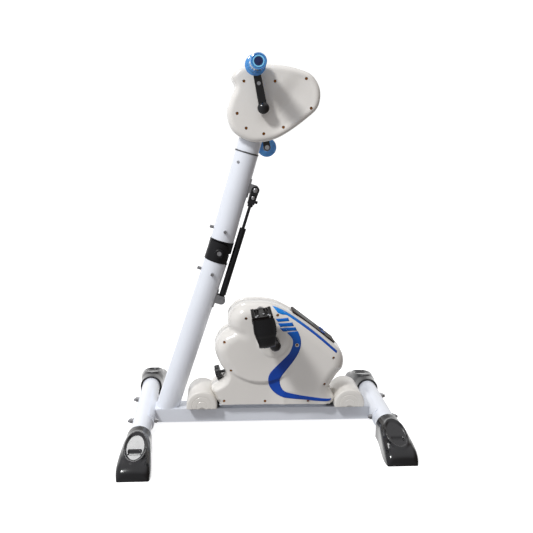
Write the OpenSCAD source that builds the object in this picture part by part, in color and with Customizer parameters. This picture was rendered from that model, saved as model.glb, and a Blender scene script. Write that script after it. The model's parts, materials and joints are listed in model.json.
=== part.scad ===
// Upright pedal exerciser for arms and legs, with a tilting mast held by a gas spring.
// X runs from the mast foot toward the user, Y across the machine, Z up from the floor.

/* [View] */
// Part to draw, or all of them
// Roundness of drawn circles
facets = 64; // [32:8:128]

/* [Base] */
// Half the distance between the two cross tubes
cross_x = 312; // [250:1:380]
// Diameter of the cross tubes
cross_d = 50; // [38:1:60]
// Height of the cross tube axis above the floor
cross_z = 31; // [27:1:40]
// Half length over the end caps of the mast-side cross tube
left_half = 345; // [250:1:400]
// Half length over the end caps of the user-side cross tube
right_half = 298; // [220:1:380]
// Length of one end cap
cap_len = 168; // [100:1:180]
// Width of the end cap sole
cap_w = 78; // [60:1:90]
// Width of the base beam
beam_w = 60; // [40:1:90]
// Height of the base beam
beam_h = 36; // [25:1:50]
// Height of the beam's underside above the floor
beam_z = 7; // [5:1:20]
// Length of a saddle plate along its cross tube
saddle_len = 180; // [100:1:220]

/* [Mast] */
// Diameter of both mast tubes
mast_d = 60; // [45:1:70]
// Height of the tilt hinge above the floor
hinge_z = 460; // [400:1:520]
// Position of the tilt hinge along the machine
hinge_x = -116; // [-160:1:-80]
// Lean of the lower mast from upright
low_lean = 18.2; // [10:0.1:25]
// Lean of the upper mast from upright at rest
up_lean = 15.6; // [5:0.1:25]
// Length of the black hinge collar
collar_len = 51; // [40:1:70]
// Distance from the hinge to the neck ring
ring_up = 262; // [200:1:320]
// Diameter of the hinge bolt
hinge_bolt_d = 12; // [8:1:16]

/* [Gas spring] */
// Distance from the hinge down to the lower gas spring pin
gas_down = 120; // [90:1:150]
// Distance from the hinge up to the upper gas spring pin
gas_up = 177; // [140:1:220]
// Distance of the lower pin from the mast axis
gas_off_low = 44.5; // [42:0.5:60]
// Distance of the upper pin from the mast axis
gas_off_up = 45.5; // [42:0.5:60]
// Diameter of the gas cylinder
gas_d = 17; // [14:1:22]
// Length of the gas cylinder body
gas_len = 196; // [150:1:220]

/* [Hand unit] */
// Position of the hand axle along the machine
hand_x = -10; // [-40:1:20]
// Height of the hand axle above the floor
hand_z = 821; // [760:1:880]
// Half thickness of the head
head_half = 55; // [45:1:70]
// Radius of the hand crank
hand_r = 101; // [80:1:130]
// Angle of the near hand crank from upright, toward the mast side
hand_ang = 11.5; // [0:0.5:30]
// Length of a hand grip
grip_len = 132; // [100:1:150]
// Diameter of a hand grip
grip_d = 38; // [28:1:42]

/* [Foot unit] */
// Position of the foot axle along the machine
foot_x = 24; // [0:1:60]
// Height of the foot axle above the floor
foot_z = 236; // [200:1:280]
// Half thickness of the foot unit casing
case_half = 60; // [50:1:75]
// Radius of the pedal crank
foot_r = 95; // [80:1:130]
// Angle of the near pedal crank from upright, toward the mast side
foot_ang = 23; // [0:0.5:30]
// Pedal length across the machine
pedal_w = 92; // [70:1:110]
// Pedal length along the machine
pedal_l = 50; // [45:1:90]
// Pedal thickness
pedal_h = 30; // [18:1:36]
// Depth of the strap loop
strap_drop = 70; // [40:1:80]

/* [Hidden] */
$fn = facets;
low_len = (hinge_z - beam_z - beam_h) / cos(low_lean);
mast_r = mast_d / 2;
cross_r = cross_d / 2;
wall = 3;
left_tube = left_half - 20;
right_tube = right_half - 20;
beam_top = beam_z + beam_h;
gas_p1 = [hinge_x - gas_down * sin(low_lean) + gas_off_low * cos(low_lean),
    hinge_z - gas_down * cos(low_lean) - gas_off_low * sin(low_lean)];
gas_p2 = [hinge_x + gas_up * sin(up_lean) + gas_off_up * cos(up_lean),
    hinge_z + gas_up * cos(up_lean) - gas_off_up * sin(up_lean)];
gas_line = atan2(gas_p2[0] - gas_p1[0], gas_p2[1] - gas_p1[1]);
gas_span = norm(gas_p2 - gas_p1);
left_cover_x = -162;
right_cover_x = 226;
cover_r = 40;
cover_z = 60;
hand_wheel_x = hand_x + 72;
hand_wheel_z = hand_z + 21;
foot_wheel_x = foot_x - 86;
foot_wheel_z = foot_z - 40;
hand_pulley_r = 50;
hand_small_r = 12;
foot_pulley_r = 70;
foot_small_r = 14;
arm_y = head_half + 12;
grip_y = arm_y + 14;
foot_arm_y = case_half + 30;
pedal_y = foot_arm_y + 12;
panel_a = 37.6;
panel_x = 131;
panel_z = 262;

// smooth closed outline through control points, steps points per span
function blend(a, b, c, d, t) = 0.5 * ((2 * b) + (c - a) * t
    + (2 * a - 5 * b + 4 * c - d) * t * t + (3 * b - a - 3 * c + d) * t * t * t);
function closed(p, steps) = let (n = len(p)) [for (i = [0:n - 1], s = [0:steps - 1])
    blend(p[(i + n - 1) % n], p[i], p[(i + 1) % n], p[(i + 2) % n], s / steps)];
function rel(p, c, k) = [for (q = p) [c[0] + (q[0] - c[0]) * k[0], c[1] + (q[1] - c[1]) * k[1]]];

head_pts = closed([[-62, 918], [-20, 924], [30, 923], [72, 916], [110, 900], [130, 866],
    [126, 826], [98, 797], [50, 762], [11, 744], [-38, 740], [-81, 764], [-95, 806],
    [-87, 842], [-76, 870], [-84, 896]], 5);
case_pts = closed([[-24, 332], [-63, 327], [-90, 302], [-94, 273], [-94, 260], [-113, 246],
    [-128, 213], [-118, 175], [-100, 144], [-106, 124], [-136, 104], [-130, 82], [-117, 64],
    [-60, 62], [60, 62], [150, 62], [186, 65], [186, 80], [174, 100], [190, 130],
    [210, 160], [204, 199], [164, 236], [100, 286], [48, 317], [16, 329]], 4);
face_pts = closed([[-22, 306], [-53, 301], [-74, 280], [-78, 258], [-80, 246], [-94, 232],
    [-106, 208], [-99, 178], [-86, 152], [-62, 134], [-22, 122], [24, 106], [70, 86],
    [134, 75], [158, 80], [152, 104], [164, 136], [180, 162], [176, 190], [144, 222],
    [88, 266], [42, 293], [12, 303]], 4);
head_mid = [15, 832];
case_mid = [30, 100];
face_mid = [30, 205];

module low_frame() {
    translate([hinge_x, 0, hinge_z]) rotate([0, low_lean, 0]) children();
}

module up_frame() {
    translate([hinge_x, 0, hinge_z]) rotate([0, up_lean, 0]) children();
}

module across(r, y0, y1) {
    translate([0, y1, 0]) rotate([90, 0, 0]) cylinder(r = r, h = y1 - y0);
}

module slab(pts, y0, y1) {
    translate([0, y1, 0]) rotate([90, 0, 0]) linear_extrude(y1 - y0) polygon(pts);
}

module ring_across(ro, ri, y0, y1) {
    difference() {
        across(ro, y0, y1);
        across(ri, y0 - 1, y1 + 1);
    }
}

module hex_across(r, y0, y1) {
    translate([0, y1, 0]) rotate([90, 0, 0]) linear_extrude(y1 - y0) circle(r = r, $fn = 6);
}

function around(c, r, a0, a1, n) = [for (i = [0:n])
    [c[0] + r * cos(a0 + (a1 - a0) * i / n), c[1] + r * sin(a0 + (a1 - a0) * i / n)]];
function belt_pts(c1, r1, c2, r2) = let (a = atan2(c2[1] - c1[1], c2[0] - c1[0]),
    b = acos((r1 - r2) / norm(c2 - c1)))
    concat(around(c1, r1, a + b, a + 360 - b, 40), around(c2, r2, a - b, a + b, 24));

// ---------- base ----------
bolt_y = 74;

module saddle(x, s, half) {
    translate([x, 0, cross_z]) intersection() {
        ring_across(cross_r + 4, cross_r + 0.1, -half, half);
        translate([s > 0 ? 17 : -30, -half, -24]) cube([13, 2 * half, 48]);
    }
}

module bolt_holes(x) {
    for (y = [-bolt_y, bolt_y]) translate([x, y, cross_z])
        rotate([0, 90, 0]) cylinder(r = 4.1, h = 120, center = true);
}

module beam() color([0.93, 0.94, 0.96]) {
    end_x = cross_x - cross_r - 1;
    difference() {
        union() {
            translate([-end_x, -beam_w / 2, beam_z]) cube([2 * end_x, beam_w, beam_h]);
            saddle(-cross_x, 1, saddle_len / 2);
            saddle(cross_x, -1, saddle_len / 2 - 10);
        }
        for (s = [-1, 1]) translate([s * cross_x, 0, cross_z]) across(cross_r + 0.1, -60, 60);
        translate([-end_x + 12, -beam_w / 2 + wall, beam_z + wall])
            cube([2 * end_x - 24, beam_w - 2 * wall, beam_h - 2 * wall]);
        bolt_holes(-cross_x);
        bolt_holes(cross_x);
    }
}

module cross_tube(x, half) difference() {
    translate([x, 0, cross_z]) ring_across(cross_r, cross_r - 2.5, -half, half);
    bolt_holes(x);
}

module saddle_bolt_pair(x, s) for (y = [-bolt_y, bolt_y])
    translate([x, y, cross_z]) rotate([0, 90 * s, 0]) {
        cylinder(r = 4, h = 78, center = true);
        translate([0, 0, cross_r + 0.2]) cylinder(r = 8.5, h = 1.6);
        translate([0, 0, cross_r + 1.7]) linear_extrude(6) circle(r = 7.4, $fn = 6);
        translate([0, 0, cross_r + 6]) intersection() {
            sphere(r = 6.4);
            cylinder(r = 7, h = 7);
        }
        translate([0, 0, -cross_r - 10.2]) linear_extrude(6) circle(r = 7.4, $fn = 6);
    }

sole_side = [[0, 0], [cap_len - 8, 0], [cap_len, 5], [cap_len, 17], [cap_len - 6, 25],
    [64, 58], [54, 61], [0, 61]];

module end_cap(x, half, s) {
    front = concat([[-cap_w / 2, 0], [cap_w / 2, 0], [cap_w / 2, 7]],
        around([0, cross_z], 30, -12, 192, 40), [[-cap_w / 2, 7]]);
    translate([x, 0, 0]) scale([1, s, 1]) translate([0, half - cap_len, 0]) difference() {
        intersection() {
            translate([0, cap_len, 0]) rotate([90, 0, 0]) linear_extrude(cap_len) polygon(front);
            translate([-60, 0, 0]) rotate([90, 0, 90]) linear_extrude(120) polygon(sole_side);
        }
        translate([0, 0, cross_z]) across(cross_r + 0.1, -1, 46);
        translate([0, 100, 41]) rotate([-20, 0, 0]) translate([0, 0, -3])
            cube([34, 9, 16], center = true);
    }
}

// ---------- lower mast and hinge ----------
module lower_mast() color([0.93, 0.94, 0.96]) difference() {
    low_frame() difference() {
        translate([0, 0, -low_len - 40]) cylinder(r = mast_r, h = low_len + 40 - collar_len / 2);
        translate([0, 0, -low_len - 41]) cylinder(r = mast_r - 2.5, h = low_len + 50);
        screw_holes(-57);
    }
    translate([-400, -60, beam_top - 60]) cube([400, 120, 60]);
}

module screw_holes(z) {
    translate([0, 0, z]) rotate([90, 0, 0]) cylinder(r = 2.6, h = 40);
    translate([0, 0, z]) rotate([0, -90, 0]) cylinder(r = 2.6, h = 40);
}

module side_screws(z) for (a = [0, -90])
    rotate([0, 0, a]) translate([0, 0, z]) rotate([90, 0, 0]) {
        translate([0, 0, mast_r - 2.2]) cylinder(r = 2.5, h = 4);
        translate([0, 0, mast_r + 0.1]) difference() {
            cylinder(r = 4.2, h = 10);
            translate([0, 0, 6]) cylinder(r = 2.2, h = 5);
        }
    }

module hinge_fork() color([0.06, 0.06, 0.065]) low_frame() {
    translate([0, 0, -collar_len / 2 - 30]) cylinder(r = mast_r - 2.6, h = 30.5);
    difference() {
        translate([0, 0, -collar_len / 2]) cylinder(r = mast_r + 1.5, h = collar_len);
        translate([-40, -16.2, -1]) cube([80, 32.4, 40]);
        translate([0, -16.2, 1 - collar_len / 2]) cube([40, 32.4, 40]);
        across(24, -16.2, 16.2);
        difference() {
            translate([0, -40, 0]) cube([40, 80, 40]);
            across(25.3, -41, 41);
        }
        across(hinge_bolt_d / 2 + 0.05, -40, 40);
    }
}

module hinge_bolt() color([0.75, 0.76, 0.78]) low_frame() {
    across(hinge_bolt_d / 2, -mast_r - 4, mast_r + 4);
    ring_across(11, 3, -mast_r - 3.2, -mast_r - 1.7);
    ring_across(11, 3, mast_r + 1.7, mast_r + 3.2);
    hex_across(9.5, -mast_r - 8, -mast_r - 3);
    hex_across(9.5, mast_r + 3, mast_r + 9);
}

module hinge_tongue() color([0.06, 0.06, 0.065]) up_frame() difference() {
    union() {
        intersection() {
            union() {
                translate([0, 0, 2]) cylinder(r = mast_r + 1.2, h = 27);
                across(22.5, -15.9, 15.9);
            }
            translate([-40, -15.9, -30]) cube([80, 31.8, 60]);
        }
        translate([0, 0, 28.2]) cylinder(r = mast_r + 1.2, h = 2.8);
        translate([0, 0, 30.9]) cylinder(r = mast_r - 2.6, h = 34);
    }
    across(hinge_bolt_d / 2 + 0.05, -40, 40);
}

module upper_mast() color([0.93, 0.94, 0.96]) up_frame() difference() {
    translate([0, 0, 31.1]) cylinder(r = mast_r, h = ring_up - 33);
    translate([0, 0, 20]) cylinder(r = mast_r - 2.5, h = ring_up);
    screw_holes(57);
    translate([0, 0, ring_up - 28]) rotate([90, 0, -31]) cylinder(r = 3.6, h = 40);
}

module neck_screw() up_frame() translate([0, 0, ring_up - 28])
    rotate([90, 0, -31]) translate([0, 0, mast_r - 2.4]) cylinder(r = 3.4, h = 4);

module neck_ring() color([0.3, 0.3, 0.32]) up_frame() translate([0, 0, ring_up - 1.7])
    difference() {
        cylinder(r = mast_r + 0.8, h = 3.4);
        translate([0, 0, -1]) cylinder(r = mast_r - 6, h = 6);
    }

module up_frame_back() rotate([0, -up_lean, 0]) translate([-hinge_x, 0, -hinge_z]) children();

module neck() color([0.93, 0.94, 0.96]) up_frame() {
    difference() {
        translate([0, 0, ring_up + 1.8]) cylinder(r = mast_r - 1, h = 60);
        translate([0, 0, ring_up]) cylinder(r = mast_r - 4, h = 70);
        up_frame_back() slab(rel(head_pts, head_mid, [1.006, 1.008]), -60, 60);
    }
    difference() {
        translate([0, 0, ring_up - 40]) cylinder(r = mast_r - 6.2, h = 62);
        translate([0, 0, ring_up - 41]) cylinder(r = mast_r - 9, h = 70);
    }
    translate([0, 0, ring_up + 18]) difference() {
        cylinder(r = mast_r - 3, h = 4);
        translate([0, 0, -1]) cylinder(r = mast_r - 9, h = 6);
    }
}

// ---------- gas spring ----------
module gas_bracket(off) {
    difference() {
        union() {
            for (s = [-1, 1]) translate([0, s * 11.7, 0]) {
                translate([20, -1.4, -11]) cube([off - 20, 2.8, 22]);
                translate([off, 0, 0]) across(11, -1.4, 1.4);
            }
            intersection() {
                translate([0, 0, -24]) cylinder(r = mast_r + 2.6, h = 48);
                translate([10, -13.1, -24]) cube([30, 26.2, 48]);
            }
        }
        translate([0, 0, -40]) cylinder(r = mast_r + 0.05, h = 80);
        translate([off, 0, 0]) across(4.02, -20, 20);
    }
}

module gas_pin() {
    across(4, -13.3, 13.3);
    hex_across(7, -18.4, -13.2);
    across(6.8, 13.2, 17);
}

module gas_bracket_low() color([0.4, 0.41, 0.43]) {
    low_frame() translate([0, 0, -gas_down]) gas_bracket(gas_off_low);
    translate([gas_p1[0], 0, gas_p1[1]]) gas_pin();
}

module gas_bracket_up() color([0.4, 0.41, 0.43]) {
    up_frame() translate([0, 0, gas_up]) gas_bracket(gas_off_up);
    translate([gas_p2[0], 0, gas_p2[1]]) gas_pin();
}

module gas_cylinder() color([0.04, 0.04, 0.045]) translate([gas_p1[0], 0, gas_p1[1]])
    rotate([0, gas_line, 0]) difference() {
        union() {
            across(8.5, -8, 8);
            translate([0, 0, 4]) cylinder(r = 5.5, h = 12);
            translate([0, 0, 14]) cylinder(r = gas_d / 2, h = gas_len - 14);
        }
        across(4.05, -20, 20);
        translate([0, 0, 30]) cylinder(r = 5, h = gas_len);
    }

module gas_rod() color([0.75, 0.76, 0.78]) translate([gas_p2[0], 0, gas_p2[1]])
    rotate([0, gas_line, 0]) translate([0, 0, 76 - gas_span]) cylinder(r = 4, h = gas_span - 121);

module gas_head() color([0.2, 0.2, 0.22]) translate([gas_p2[0], 0, gas_p2[1]])
    rotate([0, gas_line, 0]) difference() {
        union() {
            across(9, -9, 9);
            translate([-9, -9, -38]) cube([18, 18, 38]);
            translate([0, 0, -45]) cylinder(r = 7, h = 8);
            translate([0, 0, -20]) across(3.4, -11.5, 11.5);
            translate([0, 0, -33]) hex_across(5, -13, -8);
            translate([8, 0, -30]) rotate([0, 90, 0]) cylinder(r = 4, h = 8);
        }
        across(4.05, -20, 20);
    }

// ---------- head ----------
head_wells = [[-56, 884], [19, 885], [95, 892], [108, 822], [41, 776], [-7, 760], [-50, 773],
    [-72, 808]];

module head_half_shell() {
    difference() {
        union() {
            slab(head_pts, -head_half + 9, -0.15);
            slab(rel(head_pts, head_mid, [0.985, 0.98]), -head_half + 5, -head_half + 9.1);
            slab(rel(head_pts, head_mid, [0.96, 0.95]), -head_half + 2, -head_half + 5.1);
            slab(rel(head_pts, head_mid, [0.93, 0.915]), -head_half, -head_half + 2.1);
        }
        difference() {
            slab(rel(head_pts, head_mid, [0.955, 0.945]), -head_half + 8, 1);
            for (w = head_wells) translate([w[0], 0, w[1]]) across(6, -head_half + 7, 0);
        }
        translate([hand_x, 0, hand_z]) across(10, -70, 1);
        up_frame() translate([0, 0, ring_up]) cylinder(r = mast_r + 0.6, h = 36);
    }
}

module head_near() color([0.94, 0.93, 0.91]) difference() {
    head_half_shell();
    for (w = head_wells) translate([w[0], 0, w[1]]) {
        across(3.7, -70, -head_half + 9);
        across(2.1, -70, 1);
    }
}

module head_far() color([0.94, 0.93, 0.91]) difference() {
    mirror([0, 1, 0]) head_half_shell();
    for (w = head_wells) translate([w[0], 0, w[1]]) across(2.1, -1, 22);
}

module head_screws() color([0.35, 0.22, 0.12]) for (w = head_wells) translate([w[0], 0, w[1]]) {
    across(3.4, -head_half + 6, -head_half + 8.8);
    across(2, -head_half + 7, 20);
}

head_plate = [[-47, 742], [-30, 743], [-20, 748], [4, 759], [50, 786], [88, 818], [90, 862],
    [44, 872], [-30, 864], [-64, 820], [-62, 786]];

module head_frame() color([0.55, 0.56, 0.58]) difference() {
    union() {
        slab(head_plate, -26, -22);
        slab(head_plate, 22, 26);
        up_frame() translate([0, 0, ring_up + 22.5]) cylinder(r = mast_r - 5, h = 9.5);
        translate([40, 0, 790]) across(5, -23, 23);
    }
    translate([hand_x, 0, hand_z]) across(14.05, -30, 30);
    translate([hand_wheel_x, 0, hand_wheel_z]) across(5.05, -30, 30);
    for (w = head_wells) translate([w[0], 0, w[1]]) across(6.6, -30, 30);
}

module hand_bearings() color([0.6, 0.61, 0.63]) translate([hand_x, 0, hand_z]) {
    ring_across(14, 8.04, -27, -21);
    ring_across(14, 8.04, 21, 27);
}

module hand_axle() color([0.7, 0.71, 0.73]) translate([hand_x, 0, hand_z]) {
    across(8, -arm_y - 12, arm_y + 12);
    ring_across(11, 7, -30.5, -27.5);
    ring_across(11, 7, 27.5, 30.5);
}

arm_side = [[-10, 0], [-8.6, hand_r], [8.6, hand_r], [10, 0]];

module hand_arm(s) {
    rotate([0, s < 0 ? -hand_ang : 180 - hand_ang, 0]) {
        y0 = s < 0 ? -arm_y - 12 : arm_y;
        difference() {
            union() {
                slab(arm_side, y0, y0 + 12);
                across(14, y0 - 1, y0 + 13);
                translate([0, 0, hand_r]) across(8.6, y0, y0 + 12);
            }
            across(8.02, -90, 90);
            translate([0, 0, hand_r]) across(6.02, -90, 90);
            translate([0, 0, hand_r * 0.58]) across(4.55, -90, 90);
        }
    }
}

module hub_cap(s) translate([hand_x, 0, hand_z])
    scale([1, s, 1]) translate([0, arm_y + 13.1, 0]) intersection() {
        across(13.5, 0, 8);
        translate([0, -9, 0]) sphere(r = 16.5);
    }

module arm_screws() color([0.75, 0.76, 0.78]) translate([hand_x, 0, hand_z]) for (s = [0, 180])
    rotate([0, s - hand_ang, 0]) translate([0, 0, hand_r * 0.58]) {
        m = s == 0 ? -1 : 1;
        translate([0, m * (arm_y + 6), 0]) across(4.5, -7.6, 7.6);
    }

module hand_pin(s) translate([hand_x, 0, hand_z])
    rotate([0, s < 0 ? -hand_ang : 180 - hand_ang, 0]) translate([0, 0, hand_r]) scale([1, s, 1]) {
        across(6, arm_y, grip_y + grip_len - 4);
        across(10, arm_y + 12.1, arm_y + 13.4);
        across(9, grip_y + grip_len - 4.1, grip_y + grip_len - 1);
    }

module at_grip(s) translate([hand_x, 0, hand_z])
    rotate([0, s < 0 ? -hand_ang : 180 - hand_ang, 0]) translate([0, 0, hand_r])
    scale([1, s, 1]) translate([0, grip_y, 0]) children();

module grip(s) at_grip(s) difference() {
    union() {
        across(25, 0, 5);
        across(grip_d / 2, 4, grip_len);
        across(grip_d / 2 + 2, 24, 29);
    }
    across(6.05, -1, grip_len + 1);
    across(11, grip_len - 5, grip_len + 1);
}

module hand_pulley() color([0.12, 0.12, 0.13]) translate([hand_x, 0, hand_z]) difference() {
    across(hand_pulley_r, 8, 18);
    across(8.02, 0, 30);
    for (a = [0:72:288]) rotate([0, a, 0]) translate([0, 0, 29]) across(10, 0, 30);
}

module hand_belt() color([0.05, 0.05, 0.05]) difference() {
    slab(belt_pts([hand_x, hand_z], hand_pulley_r + 1.8, [hand_wheel_x, hand_wheel_z],
        hand_small_r + 1.8), 9, 17);
    slab(belt_pts([hand_x, hand_z], hand_pulley_r + 0.3, [hand_wheel_x, hand_wheel_z],
        hand_small_r + 0.3), 8, 18);
}

module hand_flywheel() color([0.5, 0.51, 0.53]) translate([hand_wheel_x, 0, hand_wheel_z])
    difference() {
        union() {
            across(34, -16, 0);
            across(hand_small_r, -1, 18);
            across(5, -27.5, 27.5);
            across(8, -21.6, -15);
            across(8, 17, 21.6);
        }
        ring_across(28, 12, -17, -12);
    }

module hand_magnet() color([0.3, 0.3, 0.32]) translate([hand_wheel_x, 0, hand_wheel_z])
    intersection() {
        ring_across(42, 36, -21.9, -2);
        translate([-24, -30, 20]) cube([48, 30, 30]);
    }

// ---------- foot unit ----------
// Outline scale in X and Z and depth of each step of the rounded casing edge
case_steps = [[1, 1, 22], [0.99, 0.992, 32], [0.965, 0.972, 41], [0.935, 0.948, 48],
    [0.9, 0.922, 54]];
cavity_steps = [[0.965, 0.975, 19], [0.935, 0.945, 34], [0.9, 0.92, 42]];
// Place of each casing screw, then where its post starts and ends
case_wells = [[-48, 296, 52, 0.15], [33, 303, 52, 28], [84, 224, 56, 28], [180, 188, 52, 0.15],
    [158, 116, 52, 0.15], [-103, 232, 50, 28], [-86, 156, 52, 39.5], [-104, 72, 41, 0.15],
    [3, 70, 52, 0.15], [116, 70, 52, 0.15]];

module panel_frame() {
    translate([panel_x, 0, panel_z]) rotate([0, panel_a, 0]) children();
}

module case_half_shell() {
    difference() {
        union() {
            for (k = case_steps) slab(rel(case_pts, case_mid, [k[0], k[1]]), -k[2], -0.15);
            slab(face_pts, -case_half + 3, -case_half + 12);
            slab(rel(face_pts, face_mid, [0.975, 0.975]), -case_half, -case_half + 12);
            translate([foot_x, 0, foot_z]) across(40, -case_half - 3, -case_half + 1);
        }
        difference() {
            intersection() {
                for (k = cavity_steps) slab(rel(case_pts, case_mid, [k[0], k[1]]), -k[2], 1);
                translate([-300, -100, 66.5]) cube([600, 200, 400]);
            }
            for (w = case_wells) translate([w[0], 0, w[1]]) across(6, -w[2], -w[3]);
        }
        slab(rel(face_pts, face_mid, [0.93, 0.93]), -case_half + 6, -case_half + 20);
        translate([foot_x, 0, foot_z]) across(15, -80, 1);
        panel_frame() translate([-73, -38.5, -9]) cube([146, 77, 30]);
        knob_frame() translate([0, 0, -60]) cylinder(r = 6, h = 80);
        knob_frame() translate([0, 0, 3]) cylinder(r = 21.5, h = 40);
        for (x = [left_cover_x, right_cover_x])
            translate([x, 0, cover_z]) across(cover_r + 0.3, -57.4, 57.4);
        translate([-98, -41, 60]) cube([196, 42, 8]);
    }
}

module case_near() color([0.92, 0.9, 0.87]) difference() {
    union() {
        case_half_shell();
        for (w = case_wells) translate([w[0], 0, w[1]]) across(6, -w[2], -w[3]);
    }
    for (w = case_wells) translate([w[0], 0, w[1]]) {
        across(3.7, -80, -case_half + 13);
        across(2.1, -80, 1);
    }
}

module case_far() color([0.92, 0.9, 0.87]) difference() {
    mirror([0, 1, 0]) union() {
        case_half_shell();
        for (w = case_wells) translate([w[0], 0, w[1]]) across(6, -w[2], -w[3]);
    }
    for (w = case_wells) translate([w[0], 0, w[1]]) across(2.1, -1, 26);
}

module case_screws() color([0.35, 0.22, 0.12]) for (w = case_wells) translate([w[0], 0, w[1]]) {
    across(3.4, -case_half + 10, -case_half + 12.8);
    across(2, -case_half + 11, w[3] > 1 ? -w[3] - 0.5 : 24);
}

module base_plate() color([0.9, 0.9, 0.91]) difference() {
    translate([-116, -46, beam_top + 15]) cube([292, 92, 3.6]);
    for (w = [-104, 3, 116]) translate([w, 0, 70]) across(7, -50, 50);
}

module foot_cover(x) difference() {
    translate([x, 0, cover_z]) across(cover_r, -57, 57);
    translate([x, 0, cover_z]) across(cover_r - 3, -54, 54);
    translate([x - 60, -70, beam_top - 51]) cube([120, 140, 60]);
    translate([x > 0 ? x - 50 : x + 10, -26.3, beam_top + 3.7]) cube([40, 52.6, 11.4]);
}

module foot_block(x) {
    translate([x - 22, -28, beam_top + 0.1]) cube([44, 56, 20]);
    translate([x > 0 ? 170 : x + 10, -26, beam_top + 4])
        cube([x > 0 ? x - 170 : -x - 124, 52, 10.8]);
}

foot_plate = [[-78, 0], [92, 0], [62, 196], [10, 200], [-80, 158], [-80, 108]];

module foot_frame() color([0.55, 0.56, 0.58]) difference() {
    union() {
        for (y = [-38, 34]) translate([0, 0, beam_top + 18.8]) slab(foot_plate, y, y + 4);
        translate([50, 0, 120]) across(6, -35, 35);
        translate([-70, 0, 100]) across(6, -35, 35);
    }
    translate([foot_x, 0, foot_z]) across(17.05, -40, 40);
    translate([foot_wheel_x, 0, foot_wheel_z]) across(5.05, -40, 40);
    for (w = [-104, 3, 116]) translate([w, 0, 70]) across(7, -50, 50);
}

module foot_bearings() color([0.6, 0.61, 0.63]) translate([foot_x, 0, foot_z]) {
    ring_across(17, 10.04, -39, -33);
    ring_across(17, 10.04, 33, 39);
}

module foot_axle() color([0.7, 0.71, 0.73]) translate([foot_x, 0, foot_z]) {
    across(10, -foot_arm_y - 12, foot_arm_y + 12);
    ring_across(13, 9, -43, -39.5);
    ring_across(13, 9, 39.5, 43);
}

foot_side = [[-12, 0], [-9.5, foot_r], [9.5, foot_r], [12, 0]];

module foot_arm(s) translate([foot_x, 0, foot_z])
    rotate([0, s < 0 ? -foot_ang : 180 - foot_ang, 0]) {
        y0 = s < 0 ? -foot_arm_y - 12 : foot_arm_y;
        difference() {
            union() {
                slab(foot_side, y0, y0 + 12);
                across(14, s < 0 ? y0 - 2 : y0 - 22, s < 0 ? y0 + 34 : y0 + 14);
                translate([0, 0, foot_r]) across(12, y0, y0 + 12);
            }
            across(10.02, -130, 130);
            translate([0, 0, foot_r]) across(7.02, -130, 130);
        }
    }

module at_pedal(s) translate([foot_x, 0, foot_z])
    rotate([0, s < 0 ? -foot_ang : 180 - foot_ang, 0]) translate([0, 0, foot_r])
    rotate([0, s < 0 ? foot_ang : foot_ang - 180, 0]) scale([1, s, 1])
    translate([0, pedal_y + 4, 0]) children();

module pedal_pin(s) at_pedal(s) {
    across(7, -16, pedal_w - 9);
    across(10.5, -3.9, -0.6);
}

module pedal(s) at_pedal(s) rotate([0, -9, 0]) difference() {
    union() {
        translate([-pedal_l / 2, 0, -8]) cube([pedal_l, 6, 16]);
        translate([-pedal_l / 2, pedal_w - 6, -8]) cube([pedal_l, 6, 16]);
        for (x = [-pedal_l / 2, pedal_l / 2 - 8]) {
            translate([x, 0, -pedal_h / 2]) cube([8, pedal_w, pedal_h]);
        }
        translate([-pedal_l / 2, 6, -pedal_h / 2]) cube([pedal_l, pedal_w - 12, 5]);
        translate([-pedal_l / 2, 18, 10]) cube([pedal_l, 10, 5]);
        translate([-pedal_l / 2, pedal_w - 28, 10]) cube([pedal_l, 10, 5]);
        across(11, 0, pedal_w);
    }
    across(7.05, -1, pedal_w - 8);
}

strap_path = concat([[-1.5, -15.3], [-1.5, 26 - strap_drop]],
    around([24, 26 - strap_drop], 25.5, 180, 270, 12),
    around([pedal_w - 22, 26 - strap_drop], 25.5, 270, 360, 12),
    [[pedal_w + 3.5, 8], [pedal_w + 0.5, 8]],
    around([pedal_w - 22, 26 - strap_drop], 22.5, 360, 270, 12),
    around([24, 26 - strap_drop], 22.5, 270, 180, 12), [[1.5, -15.3]]);

module strap(s) at_pedal(s) rotate([0, -9, 0]) difference() {
    union() {
        translate([-25, 0, 0]) rotate([90, 0, 90]) linear_extrude(50) polygon(strap_path);
        translate([-16, -3.4, -19]) cube([32, 3, 13]);
    }
    across(12, -6, 10);
}

module foot_pulley() color([0.12, 0.12, 0.13]) translate([foot_x, 0, foot_z]) difference() {
    across(foot_pulley_r, 12, 24);
    across(10.02, 0, 30);
    for (a = [0:60:300]) rotate([0, a, 0]) translate([0, 0, 42]) across(14, 0, 30);
}

module foot_belt() color([0.05, 0.05, 0.05]) difference() {
    slab(belt_pts([foot_x, foot_z], foot_pulley_r + 1.8, [foot_wheel_x, foot_wheel_z],
        foot_small_r + 1.8), 13, 23);
    slab(belt_pts([foot_x, foot_z], foot_pulley_r + 0.3, [foot_wheel_x, foot_wheel_z],
        foot_small_r + 0.3), 12, 24);
}

module foot_flywheel() color([0.5, 0.51, 0.53]) translate([foot_wheel_x, 0, foot_wheel_z])
    difference() {
        union() {
            across(46, -24, -4);
            across(foot_small_r, -5, 24);
            across(5, -38.5, 38.5);
            across(9, -33.6, -23);
            across(9, 23, 33.6);
        }
        ring_across(38, 14, -25, -19);
    }

module foot_magnet() color([0.3, 0.3, 0.32]) translate([foot_wheel_x, 0, foot_wheel_z])
    intersection() {
        ring_across(54, 48, -33.9, -6);
        translate([-22, -40, -60]) cube([44, 40, 24]);
    }

// ---------- controls ----------
module knob_frame() {
    translate([-108, 0, 136]) rotate([0, -106, 0]) children();
}

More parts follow.
